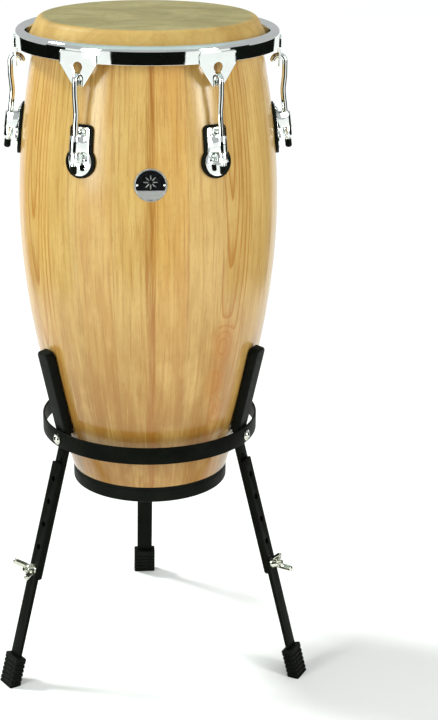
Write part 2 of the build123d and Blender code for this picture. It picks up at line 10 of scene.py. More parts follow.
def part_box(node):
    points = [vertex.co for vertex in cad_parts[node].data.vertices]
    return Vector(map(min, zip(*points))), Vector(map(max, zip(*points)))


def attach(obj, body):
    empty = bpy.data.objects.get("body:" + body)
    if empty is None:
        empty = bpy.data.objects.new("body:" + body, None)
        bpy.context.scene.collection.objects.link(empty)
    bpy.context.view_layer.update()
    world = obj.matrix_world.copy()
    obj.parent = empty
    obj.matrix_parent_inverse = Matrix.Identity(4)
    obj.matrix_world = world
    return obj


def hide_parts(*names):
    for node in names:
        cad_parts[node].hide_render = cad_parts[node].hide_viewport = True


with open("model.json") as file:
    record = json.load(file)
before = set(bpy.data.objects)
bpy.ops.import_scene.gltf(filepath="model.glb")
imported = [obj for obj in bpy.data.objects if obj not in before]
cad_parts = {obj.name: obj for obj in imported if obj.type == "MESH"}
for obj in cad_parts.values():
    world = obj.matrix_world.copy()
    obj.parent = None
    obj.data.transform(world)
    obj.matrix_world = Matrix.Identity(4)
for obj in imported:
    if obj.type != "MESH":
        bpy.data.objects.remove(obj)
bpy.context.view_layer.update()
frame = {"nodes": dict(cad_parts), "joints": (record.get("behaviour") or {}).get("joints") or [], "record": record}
JOINTS = {j["name"]: j for j in frame["joints"]}
BODY_OF = {n: b for b, ns in frame["record"]["behaviour"]["bodies"].items() for n in ns}
LUGS = ["front_left", "front_right", "side_left", "side_right", "rear_left", "rear_right"]
LEGS = ["left", "right", "rear"]
MM = 0.001
UP = Vector((0, 0, 1))

# ---- sizes, in metres, from the frame where it has them ----
DRUM_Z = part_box("bottom_ring")[0].z
HEAD_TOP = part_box("drumhead_skin")[1].z
SHELL_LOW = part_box("bottom_ring")[1].z
SHELL_HIGH = HEAD_TOP - 12 * MM
HOOP_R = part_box("tension_hoop")[1].x
RING_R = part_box("stand_ring")[1].x
RING_LOW, RING_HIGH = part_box("stand_ring")[0].z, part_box("stand_ring")[1].z
SHEET = 2.8 * MM  # hoop steel
ROLL = 8.0 * MM
ROLL_Z = DRUM_Z + 687 * MM
BAND_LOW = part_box("tension_hoop")[0].z + 32.2 * MM
ROD_R = 4.0 * MM
THREAD_PITCH = 1.25 * MM  # M8, on the tuning rods and the clamp bolts
KEYHOLE_Z, KEYHOLE_R = DRUM_Z + 664 * MM, 7 * MM
BAR_WIDE = 25 * MM
BAR_THICK = 5 * MM
STAVES = 22
SEAM = 0.8  # azimuth of one glue line, degrees
FLAT_SAWN = [2, 8, 13, 18]  # the staves that show the long arched figure
# azimuth, height and size of each knot in the shell
KNOTS = [(37.5, 0.548, 0.014), (35.5, 0.490, 0.012), (38.5, 0.442, 0.008), (-139.0, 0.70, 0.012),
         (118.0, 0.61, 0.008)]
WING_TURN = {"left": -16.0, "right": -52.0, "rear": 30.0}  # how each wing nut was left, degrees


def horizontal(vector):
    """The direction of a vector's horizontal part."""
    return Vector((vector[0], vector[1], 0)).normalized()


LUG_OUT = {lug: horizontal(JOINTS[f"tuning_nut_{lug}_turn"]["pos_m"]) for lug in LUGS}
LEG_DOWN = {leg: Vector(JOINTS[f"leg_{leg}_extend"]["axis"]).normalized() for leg in LEGS}
LEG_OUT = {leg: horizontal(LEG_DOWN[leg]) for leg in LEGS}


# =====================================================================================
# small mesh helpers
# =====================================================================================
def new_object(name, data):
    made = bpy.data.objects.new(name, data)
    bpy.context.scene.collection.objects.link(made)
    return made


def mesh_object(name, bm):
    """Turn a bmesh into an object of its own."""
    mesh = bpy.data.meshes.new(name)
    bm.to_mesh(mesh)
    bm.free()
    return new_object(name, mesh)


def evaluated(holder):
    """The mesh that an object's curve or modifiers make; the object itself goes."""
    bpy.context.view_layer.update()
    mesh = bpy.data.meshes.new_from_object(holder.evaluated_get(bpy.context.evaluated_depsgraph_get()))
    bpy.data.objects.remove(holder)
    return mesh


def finish_mesh(name, bm, body, material, replaces=(), crease=38.0):
    """Turn a bmesh into a smooth-shaded piece with sharp edges kept, riding on a body."""
    bmesh.ops.remove_doubles(bm, verts=bm.verts, dist=2e-6)
    bmesh.ops.recalc_face_normals(bm, faces=bm.faces)
    for face in bm.faces:
        face.smooth = True
    for edge in bm.edges:
        edge.smooth = len(edge.link_faces) == 2 and edge.calc_face_angle(0.0) < radians(crease)
    piece = mesh_object(name, bm)
    piece.data.materials.append(material)
    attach(piece, body)
    if replaces:
        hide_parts(*replaces)
    return piece


def join_round(bm, loops):
    """Faces between equal closed loops, the last one joined back to the first."""
    count = len(loops[0])
    for here, there in zip(loops, loops[1:] + loops[:1]):
        for k in range(count):
            n = (k + 1) % count
            bm.faces.new((here[k], there[k], there[n], here[n]))
    return bm


def bridge(bm, low, high):
    """Faces between two neighbouring loops, either of which may be a single point."""
    count = max(len(low), len(high))
    for i in range(count):
        n = (i + 1) % count
        if len(low) == 1:
            bm.faces.new((low[0], high[n], high[i]))
        elif len(high) == 1:
            bm.faces.new((low[i], low[n], high[0]))
        else:
            bm.faces.new((low[i], low[n], high[n], high[i]))


def lathe(bm, profile, segments=192, bump=None):
    """Revolve a closed loop of (radius, z) about the drum's axis."""
    rings = []
    for i in range(segments):
        a = 2 * pi * i / segments
        ring = []
        for r, z in profile:
            if bump:
                r, z = bump(a, r, z)
            ring.append(bm.verts.new((r * cos(a), r * sin(a), z)))
        rings.append(ring)
    return join_round(bm, rings)


def arc(centre, radius, start, end, steps):
    """Points (u, v) on an arc, both ends included, angles in degrees."""
    angles = [radians(start + (end - start) * i / steps) for i in range(steps + 1)]
    return [(centre[0] + radius * cos(a), centre[1] + radius * sin(a)) for a in angles]


def rounded(points, radius, steps=6):
    """A closed outline with its corners rounded; radius is one number or one a corner."""
    radii = radius if isinstance(radius, (list, tuple)) else [radius] * len(points)
    out = []
    for i, (point, r) in enumerate(zip(points, radii)):
        here = Vector(point)
        back = (Vector(points[i - 1]) - here).normalized()
        on = (Vector(points[(i + 1) % len(points)]) - here).normalized()
        if r <= 0:
            out.append(tuple(here))
            continue
        half = back.angle(on) / 2
        centre = here + (back + on).normalized() * (r / sin(half))
        first = here + back * (r / tan(half)) - centre
        last = here + on * (r / tan(half)) - centre
        sweep = atan2(first.x * last.y - first.y * last.x, first.dot(last))
        for k in range(steps + 1):
            a = sweep * k / steps
            spun = Vector((first.x * cos(a) - first.y * sin(a), first.x * sin(a) + first.y * cos(a)))
            out.append(tuple(centre + spun))
    return out


def plate_mesh(outline, holes, thick, edge, steps=3):
    """A flat plate with holes and rounded rims: local x, y across it and z from 0 to thick."""
    curve = bpy.data.curves.new("plate", "CURVE")
    curve.dimensions = "2D"
    curve.fill_mode = "BOTH"
    for loop in [outline, *holes]:
        spline = curve.splines.new("POLY")
        spline.points.add(len(loop) - 1)
        for point, (x, y) in zip(spline.points, loop):
            point.co = (x, y, 0, 1)
        spline.use_cyclic_u = True
    curve.extrude = thick / 2 - edge
    curve.bevel_depth = edge
    curve.bevel_resolution = steps
    curve.offset = -edge
    mesh = evaluated(new_object("plate", curve))
    mesh.transform(Matrix.Translation((0, 0, thick / 2)))
    bpy.data.curves.remove(curve)
    return mesh


def add_mesh(bm, mesh, matrix):
    mesh = mesh.copy()
    mesh.transform(matrix)
    bm.from_mesh(mesh)
    bpy.data.meshes.remove(mesh)


def axes(origin, x, z):
    """A frame from an origin, an x direction and a z direction."""
    z = Vector(z).normalized()
    y = z.cross(Vector(x)).normalized()
    x = y.cross(z)
    m = Matrix((x, y, z)).transposed().to_4x4()
    m.translation = origin
    return m


def outward(azimuth):
    a = radians(azimuth)
    return Vector((sin(a), -cos(a), 0))


def spun(local_profile, matrix, bm, segments=40):
    """Revolve an open (radius, height) profile about a frame's z axis, capped where it leaves the axis."""
    rings = []
    for r, h in local_profile:
        if r < 1e-7:
            rings.append([bm.verts.new(matrix @ Vector((0, 0, h)))])
            continue
        turn = [2 * pi * i / segments for i in range(segments)]
        rings.append([bm.verts.new(matrix @ Vector((r * cos(a), r * sin(a), h))) for a in turn])
    for low, high in zip(rings, rings[1:]):
        bridge(bm, low, high)
    return bm


def loft(rings, bm):
    """Join equal loops of points into a skin with closed ends."""
    made = [[bm.verts.new(p) for p in ring] for ring in rings]
    for low, high in zip(made, made[1:]):
        bridge(bm, low, high)
    bm.faces.new(made[0][::-1])
    bm.faces.new(made[-1])
    return bm


def rod_along(points, side, radius, bm, threaded):
    """A round bar along a planar line of points; its last stretch carries a screw thread."""
    depth, sides = 0.55 * MM, 20
    total = sum((b - a).length for a, b in zip(points, points[1:]))
    rings, run = [], 0.0
    for i, point in enumerate(points):
        before, after = points[max(i - 1, 0)], points[min(i + 1, len(points) - 1)]
        along = (after - before).normalized()
        across = along.cross(side).normalized()
        if i:
            run += (point - points[i - 1]).length
        left = total - run
        ring = []
        for k in range(sides):
            a = 2 * pi * k / sides
            r = radius
            if left < threaded:
                wave = (run / THREAD_PITCH - k / sides) % 1.0
                fade = min(1.0, (threaded - left) / THREAD_PITCH)
                r -= depth * fade * abs(2 * wave - 1)
            ring.append(point + (side * cos(a) + across * sin(a)) * r)
        rings.append(ring)
    nose = points[0] + (points[0] - points[1]).normalized() * radius * 0.45
    rings.insert(0, [nose + (p - points[0]) * 0.62 for p in rings[0]])
    return loft(rings, bm)


def softened_line(corners, radius, step):
    """An open line through corners, each turned on an arc."""
    line = [corners[0]]
    for before, here, after in zip(corners, corners[1:], corners[2:]):
        back, on = (before - here).normalized(), (after - here).normalized()
        half = back.angle(on) / 2
        centre = here + (back + on).normalized() * (radius / sin(half))
        first = here + back * (radius / tan(half))
        last = here + on * (radius / tan(half))
        sweep = (first - centre).angle(last - centre)
        count = max(2, int(sweep * radius / step))
        for k in range(count + 1):
            line.append(centre + (first - centre).slerp(last - centre, k / count).normalized() * radius)
    line.append(corners[-1])
    return line


def divided(line, step):
    """The same line with points no further apart than step."""
    out = [line[0]]
    for a, b in zip(line, line[1:]):
        count = max(1, int((b - a).length / step + 0.999))
        out += [a.lerp(b, k / count) for k in range(1, count + 1)]
    return out


def between(a, b, shares):
    """Points part of the way from a to b."""
    return [(a[0] + (b[0] - a[0]) * t, a[1] + (b[1] - a[1]) * t) for t in shares]


def cad_copy(node):
    """The CAD node's own mesh as a welded bmesh with flat faces merged."""
    bm = bmesh.new()
    bm.from_mesh(frame["nodes"][node].data)
    bmesh.ops.remove_doubles(bm, verts=bm.verts, dist=5e-6)
    bmesh.ops.dissolve_limit(bm, angle_limit=radians(0.6), verts=bm.verts, edges=bm.edges)
    return bm


def refined(node, width, material, sharp=32.0):
    """A CAD shape with its hard edges eased by a small bevel."""
    bm = cad_copy(node)
    hard = [e for e in bm.edges if len(e.link_faces) == 2 and e.calc_face_angle(0.0) > radians(sharp)]
    if width and hard:
        bmesh.ops.bevel(bm, geom=hard, offset=width, segments=2, profile=0.5, affect="EDGES",
                        clamp_overlap=True)
    return finish_mesh(node + "_finished", bm, BODY_OF[node], material, [node])


# =====================================================================================
# materials
# =====================================================================================
class Graph:
    """A short way to write a material's nodes."""

    def __init__(self, name):
        self.material = bpy.data.materials.new(name)
        self.material.use_nodes = True
        self.tree = self.material.node_tree
        self.shader = self.tree.nodes["Principled BSDF"]
        coords = self.tree.nodes.new("ShaderNodeTexCoord")
        self.place = coords.outputs["Object"]

    def node(self, kind, inputs=(), **settings):
        made = self.tree.nodes.new(kind)
        for key, value in settings.items():
            setattr(made, key, value)
        for key, value in dict(inputs).items():
            self.feed(made.inputs[key], value)
        return made

    def feed(self, socket, value):
        if isinstance(value, bpy.types.NodeSocket):
            self.tree.links.new(value, socket)
        else:
            socket.default_value = value

    def math(self, operation, *values):
        made = self.node("ShaderNodeMath", enumerate(values), operation=operation)
        return made.outputs[0]

    def times(self, a, b):
        return self.math("MULTIPLY", a, b)

    def minus(self, a, b):
        return self.math("SUBTRACT", a, b)

    def length(self, a, b):
        return self.math("SQRT", self.math("ADD", self.times(a, a), self.times(b, b)))

    def noise(self, vector, scale, detail=3.0, roughness=0.55, distortion=0.0):
        inputs = {"Vector": vector, "Scale": scale, "Detail": detail, "Roughness": roughness}
        inputs["Distortion"] = distortion
        return self.node("ShaderNodeTexNoise", inputs).outputs["Fac"]

    def stretched(self, vector, scale):
        made = self.node("ShaderNodeVectorMath", {0: vector, 1: scale}, operation="MULTIPLY")
        return made.outputs[0]

    def joined(self, x, y, z):
        return self.node("ShaderNodeCombineXYZ", {0: x, 1: y, 2: z}).outputs[0]

    def split(self, vector):
        return self.node("ShaderNodeSeparateXYZ", {0: vector}).outputs

    def random(self, value, seed):
        vector = self.joined(value, seed, 0.5)
        made = self.node("ShaderNodeTexWhiteNoise", {"Vector": vector}, noise_dimensions="3D")
        return made.outputs["Value"]

    def span(self, value, low, high, to_low=0.0, to_high=1.0, smooth=True):
        inputs = {"Value": value, "From Min": low, "From Max": high, "To Min": to_low, "To Max": to_high}
        kind = "SMOOTHSTEP" if smooth else "LINEAR"
        return self.node("ShaderNodeMapRange", inputs, interpolation_type=kind).outputs["Result"]

    def steps(self, value, levels):
        """One grey level for each equal share of 0 to 1."""
        made = self.node("ShaderNodeValToRGB", {"Fac": value})
        made.color_ramp.interpolation = "CONSTANT"
        stops = made.color_ramp.elements
        stops.remove(stops[1])
        for i, level in enumerate(levels):
            stop = stops[0] if i == 0 else stops.new(i / len(levels))
            stop.color = (level, level, level, 1.0)
        return made.outputs["Color"]

    def mix(self, share, a, b, blend="MIX"):
        inputs = {0: share, 6: colour(a), 7: colour(b)}
        return self.node("ShaderNodeMix", inputs, data_type="RGBA", blend_type=blend).outputs[2]

    def bump(self, height, strength, distance, normal=None):
        inputs = {"Height": height, "Strength": strength, "Distance": distance}
        if normal is not None:
            inputs["Normal"] = normal
        return self.node("ShaderNodeBump", inputs).outputs["Normal"]

    def done(self, **inputs):
        for key, value in inputs.items():
            value = colour(value) if key == "Base_Color" else value
            self.feed(self.shader.inputs[key.replace("_", " ")], value)
        return self.material


def colour(value):
    return (*value, 1.0) if isinstance(value, tuple) and len(value) == 3 else value


def wood():
    """Lacquered light hardwood in staves: growth rings cut from a tilted trunk, pores, knots and seams."""
    g = Graph("lacquered_wood")
    x, y, z = g.split(g.place)
    radius = g.length(x, y)
    around = g.math("ARCTAN2", x, g.times(y, -1.0))
    drift = g.noise(g.stretched(g.place, (6.0, 6.0, 0.6)), 1.0, 1.0)
    staves = g.math("MULTIPLY_ADD", around, STAVES / (2 * pi), STAVES * (1 - SEAM / 360))
    board = g.math("FLOORED_MODULO", g.math("FLOOR", staves), STAVES)
    in_board = g.minus(g.math("FRACT", staves), 0.5)
    across = g.times(in_board, g.times(radius, 2 * pi / STAVES))
    share_round = g.times(g.math("ADD", board, 0.5), 1 / STAVES)
    tone = g.span(g.random(board, 2.6), 0.0, 1.0, 0.32, 0.80, False)
    flat_sawn = g.steps(share_round, [1.0 if i in FLAT_SAWN else 0.0 for i in range(STAVES)])
    shift, depth, slant = (g.random(board, seed) for seed in (4.1, 7.7, 9.2))

    def grained(wide, tall, detail, roughness=0.55):
        """Noise drawn out along a board, different in every board."""
        vector = g.joined(g.times(across, wide), board, g.times(z, tall))
        return g.noise(vector, 1.0, detail, roughness)

    # distance from the tree's heart: a flat-sawn board runs slantwise across it, the others lie beside it
    wander = grained(14.0, 2.2, 3.0)
    beside_heart = g.span(shift, 0.0, 1.0, -0.06, 0.06, False)
    offset = g.span(flat_sawn, 0.0, 1.0, beside_heart, 0.010, False)
    side = g.math("ADD", across, offset)
    side = g.math("MULTIPLY_ADD", g.minus(wander, 0.5), 0.016, side)
    middle_z, arch_z, arch_slope, knot_squash = 0.62, 0.86, 0.075, 0.52
    beside = g.math("MULTIPLY_ADD", g.minus(z, middle_z), g.span(slant, 0.0, 1.0, -0.05, 0.05, False),
                    g.span(depth, 0.0, 1.0, 0.02, 0.07, False))
    slantwise = g.times(g.minus(z, arch_z), arch_slope)
    deep = g.span(flat_sawn, 0.0, 1.0, beside, slantwise, False)
    heart = g.length(side, deep)
    knots = None
    for azimuth, height, size in KNOTS:
        wide = g.times(g.minus(around, radians(azimuth)), radius)
        high = g.times(g.minus(z, height), knot_squash)
        away = g.length(wide, high)
        near = g.span(away, size * 0.5, size * 2.2, 1.0, 0.0)
        heart = g.math("MULTIPLY_ADD", near, g.times(g.minus(size * 2.0, away), 0.9), heart)
        knots = near if knots is None else g.math("MAXIMUM", knots, near)
    ring_spacing = 0.0074
    rings = g.times(heart, 1 / ring_spacing)
    ring = g.math("FRACT", g.math("MULTIPLY_ADD", drift, 1.6, rings))
    late = g.times(g.span(ring, 0.45, 0.93), g.span(ring, 0.93, 1.0, 1.0, 0.0))
    late = g.math("POWER", late, 1.2)

    fibre = grained(950.0, 30.0, 4.0, 0.65)
    streak = grained(210.0, 8.0, 4.0, 0.62)
    broad = grained(40.0, 7.0, 2.0)
    # painted sheen: soft blotches that lighten the wood's colour in place of its chatoyant shimmer of light; the
    # same noise also varies the coat's roughness
    painted_sheen = g.noise(g.stretched(g.place, (30.0, 30.0, 11.0)), 1.0, 4.0, 0.6)
    pores = g.span(grained(1900.0, 80.0, 1.0), 0.62, 0.72)
    fleck = grained(620.0, 62.0, 2.0)

    base = g.mix(tone, (0.425, 0.236, 0.056), (0.585, 0.405, 0.138))
    base = g.mix(g.span(shift, 0.4, 0.9, 0.0, 0.60), base, (0.530, 0.265, 0.056))
    # painted shade: the wood is mixed darker towards the bottom of the shell, standing in for the lower part
    # getting less light
    base = g.mix(g.span(z, 0.36, 0.76, 0.96, 0.0), base, (0.262, 0.112, 0.012))
    base = g.mix(g.span(broad, 0.38, 0.72, 0.0, 0.36), base, (0.640, 0.440, 0.150))
    # painted sheen: lighter blotches mixed into the base colour
    base = g.mix(g.span(painted_sheen, 0.46, 0.68, 0.0, 0.30), base, (0.640, 0.440, 0.155))
    lines = g.times(late, g.span(flat_sawn, 0.0, 1.0, 0.10, 0.72, False))
    base = g.mix(lines, base, (0.345, 0.125, 0.012))
    base = g.mix(g.span(streak, 0.47, 0.70, 0.0, 0.62), base, (0.320, 0.142, 0.026))
    base = g.mix(g.span(streak, 0.28, 0.46, 0.42, 0.0), base, (0.600, 0.400, 0.125))
    base = g.mix(g.span(fibre, 0.50, 0.74, 0.0, 0.42), base, (0.300, 0.145, 0.034))
    base = g.mix(g.span(fibre, 0.26, 0.46, 0.36, 0.0), base, (0.640, 0.440, 0.140))
    base = g.mix(g.span(fleck, 0.60, 0.72, 0.0, 0.42), base, (0.290, 0.115, 0.020))
    base = g.mix(g.times(knots, 0.42), base, (0.420, 0.150, 0.014))
    # one board carries a darker heartwood stripe
    stripe_wide = g.math("MULTIPLY_ADD", g.minus(streak, 0.5), 0.05, around)
    stripe = g.times(g.span(stripe_wide, radians(-6.0), radians(2.3)),
                    g.span(stripe_wide, radians(2.5), radians(3.4), 1.0, 0.0))
    stripe = g.math("POWER", stripe, 2.2)
    stripe = g.times(stripe, g.span(streak, 0.30, 0.62, 0.25, 0.85))
    base = g.mix(stripe, base, (0.290, 0.108, 0.010))
    base = g.mix(g.times(pores, 0.40), base, (0.260, 0.125, 0.036))
    edge = g.times(g.minus(0.5, g.math("ABSOLUTE", in_board)), radius)
    seam = g.span(edge, 0.0004, 0.0016, 1.0, 0.0)
    base = g.mix(g.times(seam, 0.42), base, (0.270, 0.125, 0.036))
    bump = g.bump(g.minus(g.times(fibre, 0.4), pores), 0.12, 0.0002)
    bump = g.bump(g.noise(g.place, 26.0, 2.0), 0.10, 0.0012, bump)
    rough = g.span(fibre, 0.2, 0.9, 0.34, 0.48, False)
    coat_bump = g.bump(g.noise(g.place, 38.0, 2.0), 0.08, 0.0012)
    coat_rough = g.span(painted_sheen, 0.3, 0.7, 0.17, 0.26)
    return g.done(Base_Color=base, Roughness=rough, Normal=bump, Specular_IOR_Level=0.04, Coat_Weight=0.95,
                  Coat_Roughness=coat_rough, Coat_Normal=coat_bump)


def rawhide():
    """Scraped hide: warm collar, duller greenish face, cloudy patches, veins and pores."""
    g = Graph("rawhide")
    x, y, _ = g.split(g.place)
    radius = g.length(x, y)
    clouds = g.noise(g.stretched(g.place, (7.0, 11.0, 10.0)), 1.0, 5.0, 0.66, 1.2)
    patches = g.noise(g.stretched(g.place, (22.0, 34.0, 30.0)), 1.0, 4.0, 0.6, 1.2)
    fine = g.noise(g.place, 900.0, 3.0, 0.7)
    veins = g.node("ShaderNodeTexVoronoi", {"Vector": g.place, "Scale": 42.0, "Randomness": 1.0},
                   feature="DISTANCE_TO_EDGE").outputs["Distance"]
    veined = g.span(veins, 0.0, 0.09, 1.0, 0.0)
    face = g.mix(g.span(clouds, 0.36, 0.68), (0.262, 0.228, 0.092), (0.385, 0.340, 0.150))
    face = g.mix(g.span(patches, 0.50, 0.78, 0.0, 0.40), face, (0.245, 0.190, 0.072))
    collar = g.mix(g.span(clouds, 0.3, 0.7), (0.430, 0.262, 0.068), (0.560, 0.378, 0.125))
    collar = g.mix(g.span(patches, 0.50, 0.8, 0.0, 0.4), collar, (0.370, 0.200, 0.048))
    rim = g.math("ADD", radius, g.span(clouds, 0.3, 0.7, -0.002, 0.002, False))
    base = g.mix(g.span(rim, 0.1475, 0.1555), face, collar)
    base = g.mix(g.times(veined, 0.10), base, (0.22, 0.145, 0.058))
    base = g.mix(g.span(fine, 0.4, 0.8, 0.0, 0.22), base, (0.27, 0.185, 0.080))
    bump = g.bump(fine, 0.22, 0.0003)
    bump = g.bump(g.math("MULTIPLY_ADD", veined, 0.3, clouds), 0.18, 0.0012, bump)
    rough = g.span(patches, 0.3, 0.8, 0.42, 0.62, False)
    return g.done(Base_Color=base, Roughness=rough, Normal=bump, Subsurface_Weight=0.06,
                  Subsurface_Scale=0.004, Specular_IOR_Level=0.18)


def plated(name, tint, smooth, dull, brushed=0.0):
    """Bright plated steel: near-mirror with faint handling haze, fine scratches and a slight waviness."""
    g = Graph(name)
    haze = g.noise(g.place, 70.0, 4.0, 0.6)
    scratch = g.noise(g.stretched(g.place, (600.0, 600.0, 9000.0)), 1.0, 2.0, 0.6)
    rough = g.span(haze, 0.35, 0.8, smooth, dull)
    rough = g.math("ADD", rough, g.span(scratch, 0.62, 0.8, 0.0, 0.05))
    base = g.mix(g.span(haze, 0.3, 0.8), tint, tuple(c * 0.93 for c in tint))
    bump = g.bump(scratch, 0.05 + brushed, 0.00005)
    bump = g.bump(g.noise(g.place, 55.0, 1.0), 0.06, 0.0006, bump)
    return g.done(Base_Color=base, Metallic=1.0, Roughness=rough, Normal=bump)


def powder_coat():
    """Satin black coat with orange peel, rubbed a little along edges and where legs slide."""
    g = Graph("black_steel")
    peel = g.noise(g.place, 1400.0, 2.0, 0.6)
    broad = g.noise(g.place, 30.0, 4.0)
    rub = g.noise(g.stretched(g.place, (260.0, 260.0, 34.0)), 1.0, 5.0, 0.7)
    base = g.mix(g.span(broad, 0.35, 0.7), (0.0018, 0.0022, 0.0012), (0.0040, 0.0046, 0.0028))
    base = g.mix(g.span(rub, 0.64, 0.78, 0.0, 0.5), base, (0.017, 0.019, 0.014))
    rough = g.span(rub, 0.3, 0.75, 0.40, 0.56, False)
    bump = g.bump(peel, 0.25, 0.00016)
    return g.done(Base_Color=base, Roughness=rough, Normal=bump, Specular_IOR_Level=0.04)


def moulded_rubber(name, base_dark, base_light, level):
    """Black moulded rubber: matt, faintly mottled, dusty in its hollows."""
    g = Graph(name)
    mottle = g.noise(g.place, 48.0, 5.0, 0.65)
    grain = g.noise(g.place, 1700.0, 2.0, 0.6)
    base = g.mix(g.span(mottle, 0.35, 0.72), base_dark, base_light)
    dust = g.noise(g.place, 210.0, 5.0, 0.75)
    base = g.mix(g.span(dust, 0.62, 0.8, 0.0, 0.35), base, (0.024, 0.026, 0.022))
    bump = g.bump(grain, 0.35, 0.0002)
    rough = g.span(mottle, 0.3, 0.75, 0.46, 0.66, False)
    return g.done(Base_Color=base, Roughness=rough, Normal=bump, Specular_IOR_Level=level)


def enamel():
    """Gloss black badge enamel with faint flow and specks."""
    g = Graph("badge_enamel")
    flow = g.noise(g.place, 300.0, 3.0)
    base = g.mix(g.span(flow, 0.4, 0.8), (0.004, 0.004, 0.005), (0.012, 0.012, 0.014))
    rough = g.span(flow, 0.3, 0.8, 0.10, 0.2)
    return g.done(Base_Color=base, Roughness=rough, Normal=g.bump(flow, 0.06, 0.0002))


def floor_paint():
    g = Graph("floor")
    shade = g.noise(g.place, 0.9, 2.0)
    base = g.mix(shade, (0.90, 0.905, 0.90), (0.93, 0.93, 0.925))
    return g.done(Base_Color=base, Roughness=0.75, Specular_IOR_Level=0.1)


WOOD = wood()
HIDE = rawhide()
CHROME = plated("chrome", (0.90, 0.935, 0.915), 0.025, 0.075)
ZINC = plated("zinc", (0.66, 0.67, 0.58), 0.06, 0.18, 0.05)
STEEL = powder_coat()
RUBBER = moulded_rubber("black_rubber", (0.0022, 0.0028, 0.0016), (0.0052, 0.0062, 0.0040), 0.07)
ENAMEL = enamel()
BADGE_METAL = plated("badge_metal", (0.86, 0.86, 0.83), 0.34, 0.48, 0.04)


# =====================================================================================
# drum
# =====================================================================================
def shell_outline():
    """The shell's outer outline as a smooth curve z -> radius, through the CAD node's outermost vertices."""
    step = 16 * MM
    outermost = {}
    for vertex in frame["nodes"]["stave_shell"].data.vertices:
        radius, z = hypot(vertex.co.x, vertex.co.y), vertex.co.z
        key = int(z / step)
        if SHELL_LOW - 1e-5 < z < SHELL_HIGH + 1e-5 and radius > outermost.get(key, (0, 0))[0]:
            outermost[key] = (radius, z)
    radii, heights = zip(*outermost.values())
    return np.polynomial.Polynomial.fit(heights, radii, 7)


def radius_at(z):
    return float(SHELL(z))


def drum_shell():
    """Turned staves, each one a hair fuller in the middle than at its glue lines."""
    thick, crest_r, rows = 11.2 * MM, 10 * MM, 110
    heights = [SHELL_LOW + (SHELL_HIGH - SHELL_LOW) * i / rows for i in range(rows + 1)]
    outer = [(radius_at(z), z) for z in heights]
    crest = arc((outer[-1][0] - crest_r, SHELL_HIGH), crest_r, 8, 90, 10)
    inner = [(radius_at(z) - thick, z) for z in reversed(heights[::4])]
    foot = [(101.2 * MM, DRUM_Z + 3 * MM), (111.8 * MM, DRUM_Z + 3 * MM), (116.4 * MM, SHELL_LOW)]
    profile = outer + crest + [(inner[0][0], HEAD_TOP - 3.5 * MM)] + inner + foot

    def fuller(a, r, z):
        board = STAVES * ((a + pi / 2) / (2 * pi) - SEAM / 360) % 1.0
        return r - 0.00012 * abs(2 * board - 1) ** 8, z

    bm = lathe(bmesh.new(), profile, STAVES * 18, fuller)
    return finish_mesh("stave_shell_turned", bm, "drum", WOOD, ["stave_shell"], 30)


def bottom_rubber():
    low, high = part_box("bottom_ring")
    r, z0, z1 = high.x, low.z, high.z
    profile = [(100.6 * MM, z0 + 3 * MM), (100.6 * MM, z0 + 1 * MM), (101.6 * MM, z0)]
    profile += arc((r - 2.5 * MM, z0 + 2.5 * MM), 2.5 * MM, 270, 360, 6)
    profile += [(r, z1 - 6 * MM), (r - 0.5 * MM, z1 - 5.5 * MM), (r - 0.5 * MM, z1 - 4.9 * MM)]
    profile += [(r, z1 - 4.4 * MM)] + arc((r - 1.2 * MM, z1 - 1.2 * MM), 1.2 * MM, 0, 90, 5)
    profile += [(116.5 * MM, z1), (111.9 * MM, z0 + 3 * MM)]
    bm = lathe(bmesh.new(), profile, 160)
    return finish_mesh("bottom_ring_moulded", bm, "drum", RUBBER, ["bottom_ring"])


def drumhead():
    """Hide pulled over the bearing edge and round the flesh hoop, with faint puckers in the collar."""
    skin, edge_round, wire = 2.0 * MM, 10 * MM, 3.5 * MM
    edge = (149.5 * MM, HEAD_TOP - skin - edge_round)
    hoop = (180.2 * MM, DRUM_Z + 673.6 * MM)
    across, down = hoop[0] - edge[0], hoop[1] - edge[1]
    away = degrees(atan2(down, across) + acos((edge_round + skin + wire) / hypot(across, down)))
    top = [(r * MM, HEAD_TOP) for r in (4, 40, 80, 110, 130, 142)]
    over = arc(edge, edge_round + skin, 90, away, 18)
    under = arc(edge, edge_round, away, 90, 12)
    wrap_in = arc(hoop, wire, away + 180, away + 392, 26)
    wrap_out = arc(hoop, wire + skin, away + 392, away + 180, 26)
    lay = between(over[-1], wrap_in[0], (0.2, 0.4, 0.6, 0.8))
    back = between(wrap_out[-1], under[0], (0.25, 0.5, 0.75))
    below = [(r, HEAD_TOP - skin) for r, z in reversed(top)]
    profile = top + over + lay + wrap_in + wrap_out + back + under + below

    def puckered(a, r, z):
        share = max(0.0, min(1.0, (r - 0.155) / 0.02)) * (1 if z > hoop[1] + 5 * MM else 0)
        ripple = sin(23 * a + 1.7 * sin(5 * a)) + 0.6 * sin(41 * a + 2.0)
        return r + 0.00016 * share * ripple, z - 0.00010 * share * ripple

    bm = lathe(bmesh.new(), profile, 288, puckered)
    for z in (HEAD_TOP, HEAD_TOP - skin):
        ring = [v for v in bm.verts if abs(v.co.z - z) < 1e-6 and hypot(v.co.x, v.co.y) < 4.5 * MM]
        ring.sort(key=lambda v: atan2(v.co.y, v.co.x))
        bm.faces.new(ring)
    return finish_mesh("drumhead_hide", bm, "drum", HIDE, ["drumhead_skin"])


